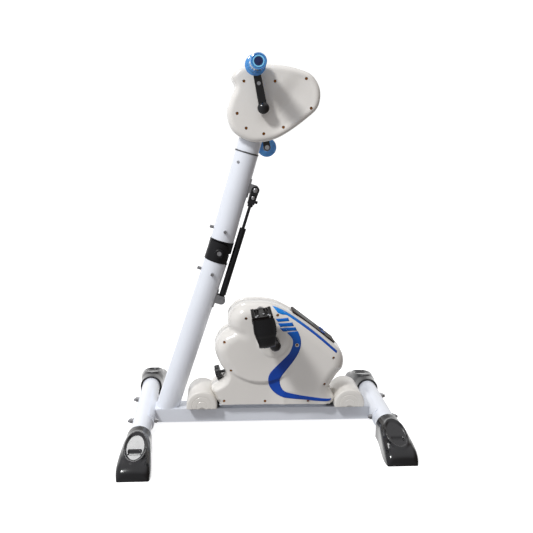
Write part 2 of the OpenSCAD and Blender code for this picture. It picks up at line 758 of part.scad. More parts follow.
module knob() color([0.05, 0.05, 0.055]) knob_frame() difference() {
    union() {
        translate([0, 0, 5]) cylinder(r = 20, h = 12);
        translate([0, 0, -14]) cylinder(r = 4, h = 20);
        translate([0, 0, 16]) cylinder(r = 12, h = 3);
    }
    for (a = [0:15:345]) rotate([0, 0, a]) translate([20.6, 0, 2]) cylinder(r = 1.7, h = 20);
}

buttons_y = [-16, 16];

module console() color([0.13, 0.13, 0.15]) panel_frame() difference() {
    translate([-72, -38, -8]) cube([144, 76, 11]);
    translate([-60.2, -28.2, 1]) cube([60.4, 56.4, 10]);
    for (y = buttons_y) translate([30, y, -5]) cylinder(r = 7.4, h = 20);
}

module display() color([0.45, 0.52, 0.48]) panel_frame()
    translate([-60, -28, 1.1]) cube([60, 56, 1.5]);

module button(y) panel_frame()
    translate([30, y, -3]) cylinder(r = 7, h = 7.6);

// ---------- single parts ----------
white = [0.93, 0.94, 0.96];
black = [0.05, 0.05, 0.055];
steel = [0.72, 0.73, 0.75];

module left_cross_tube() color(white) cross_tube(-cross_x, left_half - cap_len + 45);
module right_cross_tube() color(white) cross_tube(cross_x, right_half - cap_len + 45);

module saddle_bolts() color(steel) {
    saddle_bolt_pair(-cross_x, -1);
    saddle_bolt_pair(cross_x, 1);
}

module caps_left() color(black) for (s = [-1, 1]) end_cap(-cross_x, left_half, s);
module caps_right() color(black) for (s = [-1, 1]) end_cap(cross_x, right_half, s);
module lower_screws() color(steel) low_frame() side_screws(-57);

module upper_screws() color(steel) {
    up_frame() side_screws(57);
    neck_screw();
}

module hand_arms() color(black) for (s = [-1, 1]) {
    translate([hand_x, 0, hand_z]) hand_arm(s);
    hub_cap(s);
}

module hand_pins() color(steel) for (s = [-1, 1]) hand_pin(s);
module grip_near() color([0.15, 0.45, 0.9]) grip(-1);
module grip_far() color([0.15, 0.45, 0.9]) grip(1);
module cover_left() color([0.9, 0.87, 0.82]) foot_cover(left_cover_x);
module cover_right() color([0.9, 0.87, 0.82]) foot_cover(right_cover_x);

module foot_blocks() color([0.15, 0.15, 0.16]) {
    foot_block(left_cover_x);
    foot_block(right_cover_x);
}

module foot_arms() color(black) for (s = [-1, 1]) foot_arm(s);
module pedal_pins() color(steel) for (s = [-1, 1]) pedal_pin(s);
module pedal_near() color([0.08, 0.08, 0.085]) pedal(-1);
module pedal_far() color([0.08, 0.08, 0.085]) pedal(1);
module strap_near() color([0.06, 0.06, 0.065]) strap(-1);
module strap_far() color([0.06, 0.06, 0.065]) strap(1);
module button_a() color([0.2, 0.35, 0.7]) button(buttons_y[0]);
module button_b() color([0.2, 0.35, 0.7]) button(buttons_y[1]);

beam();
left_cross_tube();
right_cross_tube();
saddle_bolts();
caps_left();
caps_right();
lower_mast();
lower_screws();
hinge_fork();
hinge_bolt();
gas_bracket_low();
hinge_tongue();
upper_mast();
upper_screws();
neck_ring();
neck();
gas_bracket_up();
gas_cylinder();
gas_rod();
gas_head();
head_near();
head_far();
head_screws();
head_frame();
hand_bearings();
hand_axle();
hand_arms();
arm_screws();
hand_pins();
grip_near();
grip_far();
hand_pulley();
hand_belt();
hand_flywheel();
hand_magnet();
case_near();
case_far();
case_screws();
base_plate();
cover_left();
cover_right();
foot_blocks();
foot_frame();
foot_bearings();
foot_axle();
foot_arms();
pedal_pins();
pedal_near();
pedal_far();
strap_near();
strap_far();
foot_pulley();
foot_belt();
foot_flywheel();
foot_magnet();
knob();
console();
display();
button_a();
button_b();
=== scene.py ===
import json
import math

import bmesh
import bpy
import numpy as np
from mathutils import Matrix, Vector, geometry


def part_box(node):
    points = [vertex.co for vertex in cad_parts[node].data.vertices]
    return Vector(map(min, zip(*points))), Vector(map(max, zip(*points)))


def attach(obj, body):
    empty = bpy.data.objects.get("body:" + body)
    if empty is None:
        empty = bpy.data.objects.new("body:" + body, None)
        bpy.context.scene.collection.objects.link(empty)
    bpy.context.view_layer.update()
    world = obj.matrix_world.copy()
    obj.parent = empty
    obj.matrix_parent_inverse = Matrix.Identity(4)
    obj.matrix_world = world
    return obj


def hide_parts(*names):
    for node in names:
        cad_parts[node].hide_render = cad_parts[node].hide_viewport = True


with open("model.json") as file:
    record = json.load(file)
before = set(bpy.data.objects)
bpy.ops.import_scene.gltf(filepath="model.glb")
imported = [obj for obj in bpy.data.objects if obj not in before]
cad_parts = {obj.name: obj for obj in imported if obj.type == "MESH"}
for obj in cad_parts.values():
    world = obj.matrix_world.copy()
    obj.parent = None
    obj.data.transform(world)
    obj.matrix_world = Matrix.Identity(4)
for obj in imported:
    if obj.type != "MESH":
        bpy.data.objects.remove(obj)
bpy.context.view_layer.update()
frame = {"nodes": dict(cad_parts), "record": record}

MM = 0.001
JOINT = {j["name"]: j for j in frame["record"]["behaviour"]["joints"]}
NODES = frame["nodes"]


def at_joint(name):
    """The joint's place in the row frame, in millimetres."""
    return Vector(JOINT[name]["pos_m"]) / MM


# ---------- camera ----------
CAM_AT = Vector((-128, -1900, 800)) * MM
CAM_YAW = math.radians(4.06)
CAM_PITCH = math.radians(11.3)
CAM_ROLL = math.radians(0.6)
CAM_FOCUS = 748 / 533

forward = Vector((math.sin(CAM_YAW) * math.cos(CAM_PITCH),
                  math.cos(CAM_YAW) * math.cos(CAM_PITCH), -math.sin(CAM_PITCH)))
right = Vector((math.cos(CAM_YAW), -math.sin(CAM_YAW), 0))
upward = right.cross(forward)
cr, sr = math.cos(CAM_ROLL), math.sin(CAM_ROLL)
right, upward = right * cr + upward * sr, upward * cr - right * sr
cam_data = bpy.data.cameras.new("camera")
cam_data.sensor_width = 36
cam_data.lens = 36 * CAM_FOCUS
cam = bpy.data.objects.new("camera", cam_data)
bpy.context.collection.objects.link(cam)
turn = Matrix((right, upward, -forward)).transposed().to_4x4()
cam.matrix_world = Matrix.Translation(CAM_AT) @ turn
bpy.context.scene.camera = cam


# ---------- materials ----------
def ramp_node(nt, lo, hi, stops=None):
    ramp = nt.nodes.new("ShaderNodeValToRGB")
    ramp.color_ramp.elements[0].color = (*lo, 1)
    ramp.color_ramp.elements[1].color = (*hi, 1)
    if stops:
        ramp.color_ramp.elements[0].position = stops[0]
        ramp.color_ramp.elements[1].position = stops[1]
    return ramp


def noise_node(nt, coord, scale, detail=3.0, rough=0.55):
    noise = nt.nodes.new("ShaderNodeTexNoise")
    noise.inputs["Scale"].default_value = scale
    noise.inputs["Detail"].default_value = detail
    noise.inputs["Roughness"].default_value = rough
    nt.links.new(coord, noise.inputs["Vector"])
    return noise


def scaled(colour, k):
    return tuple(min(1.0, c * k) for c in colour)


def material(name, colour, rough=0.4, metal=0.0, coat=0.0, coat_rough=0.05, tone=0.04,
             tone_scale=14, grain=0.0, grain_scale=900, wave=0.0, wave_scale=60,
             rough_var=0.06, spec=0.5):
    """A plastic, paint or metal with slow tone and gloss changes and, if asked, grain and waves."""
    mat = bpy.data.materials.new(name)
    mat.use_nodes = True
    nt = mat.node_tree
    bsdf = nt.nodes["Principled BSDF"]
    coord = nt.nodes.new("ShaderNodeTexCoord").outputs["Object"]
    tint = noise_node(nt, coord, tone_scale)
    ramp = ramp_node(nt, scaled(colour, 1 - tone), scaled(colour, 1 + tone), (0.3, 0.7))
    nt.links.new(tint.outputs["Fac"], ramp.inputs["Fac"])
    nt.links.new(ramp.outputs["Color"], bsdf.inputs["Base Color"])
    haze = noise_node(nt, coord, tone_scale * 4, 5)
    spread = nt.nodes.new("ShaderNodeMapRange")
    spread.inputs["To Min"].default_value = max(0.0, rough - rough_var)
    spread.inputs["To Max"].default_value = min(1.0, rough + rough_var)
    nt.links.new(haze.outputs["Fac"], spread.inputs["Value"])
    nt.links.new(spread.outputs["Result"], bsdf.inputs["Roughness"])
    bsdf.inputs["Metallic"].default_value = metal
    bsdf.inputs["Coat Weight"].default_value = coat
    bsdf.inputs["Coat Roughness"].default_value = coat_rough
    bsdf.inputs["Specular IOR Level"].default_value = spec
    last = None
    if grain:
        fine = noise_node(nt, coord, grain_scale, 2)
        bump = nt.nodes.new("ShaderNodeBump")
        bump.inputs["Strength"].default_value = grain
        bump.inputs["Distance"].default_value = 0.0004
        nt.links.new(fine.outputs["Fac"], bump.inputs["Height"])
        last = bump
    if wave:
        slow = noise_node(nt, coord, wave_scale, 1)
        bump = nt.nodes.new("ShaderNodeBump")
        bump.inputs["Strength"].default_value = wave
        bump.inputs["Distance"].default_value = 0.002
        nt.links.new(slow.outputs["Fac"], bump.inputs["Height"])
        if last:
            nt.links.new(last.outputs["Normal"], bump.inputs["Normal"])
        last = bump
    if last:
        nt.links.new(last.outputs["Normal"], bsdf.inputs["Normal"])
    return mat


M = {
    "white_tube": material("white_powder_coat", (0.80, 0.83, 0.89), 0.32, coat=0.25, grain=0.12,
                           grain_scale=1400, tone=0.015),
    "zinc_bolts": material("zinc_plate", (0.42, 0.42, 0.43), 0.26, metal=1.0, grain=0.1),
    "cap_black": material("gloss_black_plastic", (0.004, 0.004, 0.005), 0.17, coat=0.25,
                          wave=0.05, tone=0.2),
    "hinge_black": material("satin_black_plastic", (0.006, 0.006, 0.007), 0.38, grain=0.25,
                            tone=0.2, spec=0.3),
    "ring_steel": material("dark_steel_ring", (0.16, 0.16, 0.17), 0.35, metal=0.9, grain=0.1),
    "bracket_steel": material("bracket_steel", (0.34, 0.34, 0.35), 0.32, metal=0.9, grain=0.15),
    "gas_black": material("gas_spring_paint", (0.005, 0.005, 0.006), 0.34, spec=0.35, grain=0.1,
                          tone=0.2),
    "rod_chrome": material("dark_rod", (0.035, 0.035, 0.037), 0.2, metal=0.7, rough_var=0.03),
    "gas_head_steel": material("gas_head_paint", (0.022, 0.022, 0.024), 0.32, metal=0.5, grain=0.1),
    "shell_white": material("gloss_shell_plastic", (0.80, 0.775, 0.735), 0.22, coat=0.35,
                            coat_rough=0.08, wave=0.02, wave_scale=25, tone=0.012,
                            rough_var=0.04),
    "screw_brown": material("bronzed_screw", (0.34, 0.13, 0.03), 0.42, metal=0.8, grain=0.1),
    "frame_steel": material("frame_steel", (0.20, 0.21, 0.22), 0.45, metal=0.8, grain=0.2),
    "bearing_steel": material("ground_steel", (0.55, 0.56, 0.58), 0.25, metal=1.0, grain=0.08),
    "crank_black": material("crank_gloss_black", (0.004, 0.004, 0.005), 0.24, coat=0.2,
                            wave=0.04, tone=0.2),
    "grip_blue": material("grip_blue", (0.03, 0.19, 0.72), 0.18, coat=0.4, tone=0.1),
    "pulley_black": material("pulley_plastic", (0.02, 0.02, 0.022), 0.45, grain=0.2),
    "belt_black": material("belt_rubber", (0.012, 0.012, 0.012), 0.7, grain=0.3),
    "flywheel_iron": material("turned_iron", (0.22, 0.22, 0.23), 0.38, metal=0.9, grain=0.2),
    "cover_cream": material("cream_plastic", (0.80, 0.775, 0.73), 0.3, coat=0.15, tone=0.02,
                            spec=0.35),
    "block_black": material("block_plastic", (0.02, 0.02, 0.02), 0.5, grain=0.2),
    "pedal_black": material("pedal_plastic", (0.006, 0.004, 0.0035), 0.42, spec=0.14, grain=0.5,
                            grain_scale=500, tone=0.25),
    "strap_black": material("strap_rubber", (0.003, 0.003, 0.004), 0.28, grain=0.1, tone=0.2,
                            spec=0.4),
    "knob_black": material("knob_plastic", (0.006, 0.006, 0.007), 0.4, grain=0.3, tone=0.2),
    "console_dark": material("console_plastic", (0.018, 0.010, 0.007), 0.5, spec=0.15, tone=0.1),
    "display_grey": material("display_lens", (0.030, 0.036, 0.032), 0.4, spec=0.2, tone=0.05),
    "button_blue": material("button_rubber", (0.03, 0.09, 0.35), 0.45, grain=0.2),
}

for sub in frame["record"]["subparts"]:
    node = NODES[sub["node"]]
    node.data.materials.clear()
    node.data.materials.append(M[sub["material_slot"]])


# ---------- mesh helpers (millimetres) ----------
SIDES = ((-1, "near"), (1, "far"))
HOLE_SIDES = 16


def ease(a, b, x):
    """Rises smoothly from 0 at a to 1 at b."""
    t = np.clip((x - a) / (b - a), 0, 1)
    return t * t * (3 - 2 * t)


def curve_span(a, b, c, d, steps):
    """Points on the smooth curve from b towards c; a and d are their neighbours."""
    return [0.5 * (2 * b + (c - a) * t + (2 * a - 5 * b + 4 * c - d) * t * t
                   + (3 * b - 3 * c + d - a) * t ** 3)
            for t in (k / steps for k in range(steps))]


def closed_curve(points, steps):
    n = len(points)
    out = []
    for i in range(n):
        out += curve_span(*(Vector(points[(i + k - 1) % n]) for k in range(4)), steps)
    return out


def smooth_line(points, steps=6):
    """An open smooth curve through the points."""
    pts = [Vector(p) for p in points]
    pts = [2 * pts[0] - pts[1]] + pts + [2 * pts[-1] - pts[-2]]
    out = []
    for i in range(1, len(pts) - 2):
        out += curve_span(*pts[i - 1:i + 3], steps)
    return out + [pts[-2]]


def resampled(points, gap):
    """The closed outline with points about one gap apart."""
    out = []
    n = len(points)
    for i in range(n):
        p, q = points[i], points[(i + 1) % n]
        k = max(1, round((q - p).length / gap))
        out += [p.lerp(q, j / k) for j in range(k)]
    return out


def counter_clockwise(points):
    n = len(points)
    area2 = sum(points[i].x * points[(i + 1) % n].y - points[(i + 1) % n].x * points[i].y
                for i in range(n))
    return points if area2 > 0 else points[::-1]


def edge_distance(pts, loop, keep=None):
    """Distance of each point to the closed loop, using only the kept segments."""
    a = np.array([tuple(p) for p in loop])
    b = np.roll(a, -1, axis=0)
    if keep is not None:
        a, b = a[keep], b[keep]
    best = np.full(len(pts), 1e9)
    for p, q in zip(a, b):
        d = q - p
        t = np.clip(((pts - p) @ d) / max(d @ d, 1e-9), 0, 1)
        best = np.minimum(best, np.hypot(*(pts - p - t[:, None] * d).T))
    return best


def within(pts, loop):
    """Which points lie inside the closed loop."""
    inside = np.zeros(len(pts), bool)
    n = len(loop)
    for i in range(n):
        x1, z1 = loop[i]
        x2, z2 = loop[(i + 1) % n]
        cross = (z1 > pts[:, 1]) != (z2 > pts[:, 1])
        at = (x2 - x1) * (pts[:, 1] - z1) / (z2 - z1 if z2 != z1 else 1e-9) + x1
        inside ^= cross & (pts[:, 0] < at)
    return inside


def piece(name, verts, faces, mat, body, slot=None, stands_for=(), sharp=40, offset=(0, 0, 0)):
    """A mesh in millimetres that rides a body and may stand for CAD nodes."""
    mesh = bpy.data.meshes.new(name)
    mesh.from_pydata([(Vector(v) + Vector(offset)) * MM for v in verts], [], faces)
    mesh.validate()
    mesh.materials.append(mat)
    for poly in mesh.polygons:
        poly.use_smooth = True
    mesh.set_sharp_from_angle(angle=math.radians(sharp))
    obj = bpy.data.objects.new(name, mesh)
    bpy.context.collection.objects.link(obj)
    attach(obj, body)
    if stands_for:
        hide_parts(*stands_for)
    return obj


def thicken(obj, thick):
    mod = obj.modifiers.new("wall", "SOLIDIFY")
    mod.thickness = thick * MM
    mod.offset = -1
    return obj


def soften(obj, width):
    mod = obj.modifiers.new("edge", "BEVEL")
    mod.width = width * MM
    mod.segments = 2
    mod.limit_method = "ANGLE"
    mod.angle_limit = math.radians(35)


def filled(loop, holes, gap, rings=()):
    """Triangles that fill the loop around round holes: points, faces, loop and hole indices."""
    loop = counter_clockwise(loop)
    flat = np.array([tuple(p) for p in loop])
    normal = np.roll(flat, -1, axis=0) - np.roll(flat, 1, axis=0)
    normal = np.stack([-normal[:, 1], normal[:, 0]], 1)
    normal /= np.linalg.norm(normal, axis=1)[:, None]
    pts = [tuple(p) for p in loop]
    edges = [(i, (i + 1) % len(loop)) for i in range(len(loop))]
    hole_ids = []
    for hx, hz, hr in holes:
        first = len(pts)
        angles = [k * math.tau / HOLE_SIDES for k in range(HOLE_SIDES)]
        pts += [(hx + hr * math.cos(a), hz + hr * math.sin(a)) for a in angles]
        hole_ids.append(list(range(first, first + HOLE_SIDES)))
        edges += [(first + k, first + (k + 1) % HOLE_SIDES) for k in range(HOLE_SIDES)]
    free = [np.zeros((0, 2))]
    for depth in rings:
        ring = flat + normal * depth
        far = edge_distance(ring, loop) > depth * 0.96
        free.append(ring[far & within(ring, flat)])
    lo, hi = flat.min(0), flat.max(0)
    xs = np.arange(lo[0], hi[0], gap)
    zs = np.arange(lo[1], hi[1], gap * 0.87)
    grid = np.array([(x + (gap / 2 if k % 2 else 0), z) for k, z in enumerate(zs) for x in xs])
    grid = grid[within(grid, flat)]
    grid = grid[edge_distance(grid, loop) > (max(rings) if rings else 0) + gap * 0.6]
    free = np.concatenate(free + [grid])
    for hx, hz, hr in holes:
        free = free[np.hypot(free[:, 0] - hx, free[:, 1] - hz) > hr + 1.2]
    pts += [tuple(p) for p in free]
    out, _, tris, origin, _, _ = geometry.delaunay_2d_cdt(
        [Vector(p) for p in pts], edges, [], 0, 1e-4)
    back = {}
    for new, olds in enumerate(origin):
        for old in olds:
            back[old] = new
    out = np.array([tuple(p) for p in out])
    mid = np.array([out[list(t)].mean(0) for t in tris])
    good = within(mid, flat)
    for hx, hz, hr in holes:
        good &= np.hypot(mid[:, 0] - hx, mid[:, 1] - hz) > hr * 0.97
    faces = [tuple(t) for t, ok in zip(tris, good) if ok]
    return out, faces, [back[i] for i in range(len(loop))], [[back[i] for i in h]
                                                             for h in hole_ids]


def half_shell(name, outline, height, wells, well_r, well_y, seam, side, mat, body, slot, node):
    """One moulded half: a relief face, its side wall to the parting line and its screw wells."""
    holes = [(x, z, well_r) for x, z in wells]
    out, faces, rim, wells_at = filled(outline, holes, 3.4, (0.7, 1.8, 3.4, 5.6, 8.5, 12))
    depth = height(out)
    verts = [(x, side * h, z) for (x, z), h in zip(out, depth)]
    n = len(rim)
    first = len(verts)
    verts += [(out[i][0], side * seam, out[i][1]) for i in rim]
    for k in range(n):
        j = (k + 1) % n
        faces.append((rim[k], first + k, first + j, rim[j]))
    for hole in wells_at:
        first = len(verts)
        for i in hole:
            verts.append((out[i][0], side * min(well_y, depth[i] - 2.5), out[i][1]))
        for k in range(HOLE_SIDES):
            j = (k + 1) % HOLE_SIDES
            faces.append((hole[k], hole[j], first + j, first + k))
        faces.append(tuple(range(first, first + HOLE_SIDES)))
    if side > 0:
        faces = [f[::-1] for f in faces]
    obj = piece(name, verts, faces, mat, body, slot, (node,), sharp=55)
    return thicken(obj, 2.4)


def decal(name, loop, height, mat, body, holes=()):
    """A thin sticker that follows the relief on both sides of the casing."""
    for side, tag in SIDES:
        out, faces, _, _ = filled(resampled(loop, 2.5), holes, 3)
        lift = height(out) + 0.4
        verts = [(x, side * h, z) for (x, z), h in zip(out, lift)]
        if side > 0:
            faces = [f[::-1] for f in faces]
        thicken(piece(f"{name}_{tag}", verts, faces, mat, body), 0.3)


def lathe(profile, steps=64, ends=True):
    """Vertices and faces of a turned shape. The profile is (radius, distance along the axis)."""
    verts, faces = [], []
    for r, y in profile:
        for k in range(steps):
            a = k * math.tau / steps
            verts.append((r * math.cos(a), y, r * math.sin(a)))
    for i in range(len(profile) - 1):
        for k in range(steps):
            j = (k + 1) % steps
            a, b = i * steps, (i + 1) * steps
            faces.append((a + k, b + k, b + j, a + j))
    if ends:
        faces.append(tuple(range(steps)))
        faces.append(tuple((len(profile) - 1) * steps + k for k in range(steps))[::-1])
    return verts, faces


def on_side(verts, faces, side, start=0, flip_on=1):
    """The shape moved out to one side of the machine, its faces kept outward."""
    if side == flip_on:
        faces = [f[::-1] for f in faces]
    return [(x, side * (y + start), z) for x, y, z in verts], faces


def outer_end(node, side):
    """How far the node reaches to one side, in millimetres."""
    lo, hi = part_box(node)
    return (hi[1] if side > 0 else -lo[1]) / MM


# ---------- head ----------
HEAD = closed_curve([(-62, 918), (-20, 924), (30, 923), (72, 916), (110, 900), (130, 866),
                     (126, 826), (98, 797), (50, 762), (11, 744), (-38, 740), (-81, 764),
                     (-95, 806), (-87, 842), (-76, 870), (-84, 896)], 12)
HEAD_WELLS = [(-56, 884), (19, 885), (95, 892), (108, 822), (41, 776), (-7, 760), (-50, 773),
              (-72, 808)]
HEAD_HALF = 55
HEAD_ROUND = 13


def head_height(p):
    d = edge_distance(p, HEAD)
    t = np.clip(1 - d / HEAD_ROUND, 0, 1)
    dome = HEAD_HALF - HEAD_ROUND * (1 - np.sqrt(1 - t * t))
    along = np.array((43.0, 59.0)) / np.hypot(43, 59)
    rel = p - np.array((20.0, 791.0))
    u = rel @ np.array((along[1], -along[0]))
    v = rel @ along
    reach = ease(-40, 5, v) * (1 - 0.45 * ease(70, 120, v))
    left = ease(-44, -3, u)
    right = 1 - 0.62 * ease(0, 52, u)
    dip = np.where(u < 0, left, right) * reach
    crease = np.exp(-(u / 1.5) ** 2) * ease(-8, 12, v) * (1 - ease(64, 84, v))
    return dome - 5.5 * dip * ease(3, 22, d) - 0.5 * crease


for side, tag in SIDES:
    half_shell(f"head_shell_{tag}", resampled(HEAD, 2.6), head_height, HEAD_WELLS, 3.8,
               HEAD_HALF - 8.8, 0.15, side, M["shell_white"], "mast", "shell_white",
               f"head_{tag}")

# ---------- casing ----------
CASE = closed_curve([(-24, 332), (-63, 327), (-90, 302), (-94, 273), (-94, 260), (-113, 246),
                     (-128, 213), (-118, 175), (-100, 144), (-106, 124), (-136, 104), (-130, 82),
                     (-117, 64), (-60, 62), (60, 62), (150, 62), (186, 65), (186, 80), (174, 100),
                     (190, 130), (210, 160), (204, 199), (164, 236), (100, 286), (48, 317),
                     (16, 329)], 10)
CASE_WELLS = [(-48, 296), (33, 303), (84, 224), (180, 188), (158, 116), (-103, 232), (-86, 156),
              (-104, 72), (3, 70), (116, 70)]
CASE_HALF = 60
CASE_LOOP = counter_clockwise(resampled(CASE, 3))
CASE_UPPER = np.array([not (p.y < 66 and q.y < 66) for p, q in
                       zip(CASE_LOOP, CASE_LOOP[1:] + CASE_LOOP[:1])])
FOOT = at_joint("foot_crank_spin")


def case_height(p):
    d = edge_distance(p, CASE_LOOP, CASE_UPPER)
    t = np.clip(1 - d / 34, 0, 1)
    dome = 24 + (CASE_HALF - 24) * np.sqrt(1 - t * t)
    x, z = p[:, 0], p[:, 1]
    disc = np.hypot(x + 7, z - 239) - 118
    low = 1 - ease(10, 86, x)
    skirt = ease(-6, 3, disc) * low * (1 - ease(150, 185, z))
    ledge = 1 - ease(-2, 16, z - 106 + 0.42 * (x - 24))
    skirt = np.maximum(skirt, ledge * ease(20, 70, x) * (1 - ease(120, 165, x)) * 0.6)
    out = dome - np.maximum(0, dome - (CASE_HALF - 8.4)) * skirt
    valley_dir = np.array((51.0, -22.0)) / np.hypot(51, 22)
    rel = p - np.array((-96.0, 268.0))
    along = rel @ valley_dir
    across = rel @ np.array((valley_dir[1], -valley_dir[0]))
    valley = np.exp(-(across / 9) ** 2) * (1 - ease(18, 66, along))
    out = out - 7 * valley
    hub = np.hypot(x - FOOT.x, z - FOOT.z)
    out = out + 3.2 * (1 - ease(40, 45, hub)) - 1.2 * (1 - ease(28, 31, hub))
    waist = np.exp(-((x - 70) / 26) ** 2) * np.exp(-((z - 205) / 60) ** 2)
    return out - 2.2 * waist


for side, tag in SIDES:
    half_shell(f"case_shell_{tag}", resampled(CASE, 3), case_height, CASE_WELLS, 3.8,
               CASE_HALF - 12.8, 0.15, side, M["shell_white"], "base", "shell_white",
               f"case_{tag}")


def sticker(name, low, mid, high, z0, z1):
    mat = material(name, mid, 0.3, coat=0.1, tone=0.03, spec=0.3)
    nt = mat.node_tree
    ramp = nt.nodes.new("ShaderNodeValToRGB")
    ramp.color_ramp.elements[0].color = (*low, 1)
    ramp.color_ramp.elements[1].color = (*high, 1)
    centre = ramp.color_ramp.elements.new(0.5)
    centre.color = (*mid, 1)
    coord = nt.nodes.new("ShaderNodeTexCoord")
    split = nt.nodes.new("ShaderNodeSeparateXYZ")
    span = nt.nodes.new("ShaderNodeMapRange")
    span.inputs["From Min"].default_value = z0 * MM
    span.inputs["From Max"].default_value = z1 * MM
    nt.links.new(coord.outputs["Object"], split.inputs[0])
    nt.links.new(split.outputs["Z"], span.inputs["Value"])
    nt.links.new(span.outputs["Result"], ramp.inputs["Fac"])
    nt.links.new(ramp.outputs["Color"], nt.nodes["Principled BSDF"].inputs["Base Color"])
    return mat


BAND = sticker("band_blue", (0.004, 0.075, 0.50), (0.004, 0.040, 0.28), (0.0, 0.15, 0.62), 70, 300)
STRIPE = sticker("stripe_blue", (0.006, 0.07, 0.42), (0.004, 0.10, 0.52), (0.0, 0.30, 0.86),
                 205, 330)
outer = [(85, 262), (92, 245), (94, 230), (92, 215), (85, 197), (71, 175), (57, 157), (44, 139),
         (41, 122), (47, 105), (61, 95), (90, 88.5), (118, 84), (150, 79), (179, 74)]
inner = [(176, 69), (120, 73), (61, 79), (33, 90), (16, 108), (10, 129), (13, 146), (24, 161),
         (45, 182), (63, 201), (70, 216), (73, 229), (71, 241), (63, 252), (57, 259)]


decal("band", smooth_line(outer) + smooth_line(inner), case_height, BAND, "base",
      [(*CASE_WELLS[2], 5)])
for k, bar in enumerate([[(28, 295), (60, 296), (63, 288), (33, 287)],
                         [(33, 283), (71, 284), (75, 275), (40, 274)],
                         [(38, 271), (79, 272), (83, 263), (47, 262)]]):
    decal(f"bar_{k}", [Vector(p) for p in bar], case_height, BAND, "base")
top_edge = smooth_line([(20, 325), (38, 318), (66, 303), (106, 275), (144, 245), (191, 204)])
low_edge = smooth_line([(188, 199), (141, 240), (103, 270), (60, 300), (46, 304), (34, 309)])
decal("stripe", top_edge + low_edge, case_height, STRIPE, "base")

# ---------- end caps ----------
CAP_LEN = 168
HOOD = 61
SOLE_W = 78
HOOD_END = 46
TOE = 30
PAD_X, PAD_LONG, PAD_AT = 26, 56, 90
SLOT_AT = 107
CAP_RINGS = 84


def cap_section(width, top, corner):
    """The cap's outline at one place along it, from one edge of the sole over to the other."""
    rise = top - corner
    arc = [k / 12 * math.pi / 2 for k in range(13)]
    line = [(-width / 2, k / 7 * rise) for k in range(7)]
    line += [(-width / 2 + corner - corner * math.cos(a), rise + corner * math.sin(a))
             for a in arc[:12]]
    flat = width - 2 * corner
    line += [(-width / 2 + corner + flat * k / 32, top) for k in range(33)]
    line += [(width / 2 - corner + corner * math.sin(a), rise + corner * math.cos(a))
             for a in arc[1:]]
    return line + [(width / 2, rise * (1 - k / 7)) for k in range(1, 8)]


def cap_relief(px, v, crown):
    """Height of the oval ridge, its sunk pad, the slot and the fall beside them."""
    rho = math.hypot(px / PAD_X, (v - PAD_AT) / PAD_LONG)
    rise = 2.8 * math.exp(-((rho - 1) / 0.1) ** 2)
    rise -= 2.0 * (1 - ease(0.80, 0.95, rho))
    rise -= 6 * (1 - ease(13, 15, abs(px))) * (1 - ease(6, 8, abs(v - SLOT_AT)))
    return rise - crown * px ** 2 * ease(0.9, 1.25, rho)


def end_cap(name, x, half, side, node):
    """A hood on the tube that runs down to a blunt toe, with an oval ridge and a slot."""
    verts, faces = [], []
    for i in range(CAP_RINGS + 1):
        v = (1 - (1 - i / CAP_RINGS) ** 1.35) * CAP_LEN
        toe = max(0.0, v - (CAP_LEN - TOE)) / TOE
        nose = 1 - math.sqrt(max(0.0, 1 - toe * toe))
        width = HOOD + (SOLE_W - HOOD) * ease(18, 140, v) - 9 * nose
        slope = ease(26, 60, v)
        if v < HOOD_END:
            top = HOOD - 2.7 * (max(0.0, v - 24) / (HOOD_END - 24)) ** 2
        else:
            top = HOOD - 2.7 - 27 * (v - HOOD_END) / (CAP_LEN - HOOD_END)
        top -= 20 * nose
        corner = min(30 - 16 * slope, width / 2 - 0.2, top - 2)
        line = cap_section(width, top, corner)
        for px, pz in line:
            if pz > top - corner - 0.01 and v > 24:
                pz += cap_relief(px, v, 5 * slope * (2 / width) ** 2)
            verts.append((x + px, side * (half - CAP_LEN + v), max(pz, 0)))
    count = len(line)
    for i in range(CAP_RINGS):
        for k in range(count):
            j = (k + 1) % count
            a, b = i * count, (i + 1) * count
            faces.append((a + k, a + j, b + j, b + k))
    faces.append(tuple(range(count))[::-1])
    faces.append(tuple(CAP_RINGS * count + k for k in range(count)))
    if side > 0:
        faces = [f[::-1] for f in faces]
    piece(name, verts, faces, M["cap_black"], "base", "cap_black", (node,), sharp=60)


CROSS_X = (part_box("left_cross_tube")[1][0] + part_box("left_cross_tube")[0][0]) / 2 / MM
LEFT_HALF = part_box("caps_left")[1][1] / MM
RIGHT_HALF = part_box("caps_right")[1][1] / MM
for side, tag in SIDES:
    end_cap(f"cap_left_{tag}", CROSS_X, LEFT_HALF, side, "caps_left")
    end_cap(f"cap_right_{tag}", -CROSS_X, RIGHT_HALF, side, "caps_right")

# ---------- foot covers ----------
ring_profile = [(0.01, -57.6), (12, -57.6), (12.7, -57), (13.6, -57), (14.4, -57.6),
                (24, -57.6), (24.7, -57), (25.6, -57), (26.4, -57.6), (35, -57.6),
                (37.5, -57), (39.2, -55.4), (40, -53)]
cover_profile = ring_profile + [(r, -y) for r, y in ring_profile[::-1]]
for tag in ("left", "right"):
    lo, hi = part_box(f"cover_{tag}")
    cx = (lo[0] + hi[0]) / 2 / MM
    verts, faces = lathe(cover_profile, 96)
    cover = piece(f"foot_cover_{tag}", verts, faces, M["cover_cream"], "base", "cover_cream",
                  (f"cover_{tag}",), sharp=35, offset=(cx, 0, hi[2] / MM - 40))
    bm = bmesh.new()
    bm.from_mesh(cover.data)
    cut = bmesh.ops.bisect_plane(bm, geom=bm.verts[:] + bm.edges[:] + bm.faces[:],
                                 plane_co=(0, 0, lo[2] + 0.0005), plane_no=(0, 0, 1), clear_inner=True)
    bmesh.ops.holes_fill(bm, edges=[e for e in cut["geom_cut"]
                                    if isinstance(e, bmesh.types.BMEdge)])
    bm.to_mesh(cover.data)
    bm.free()

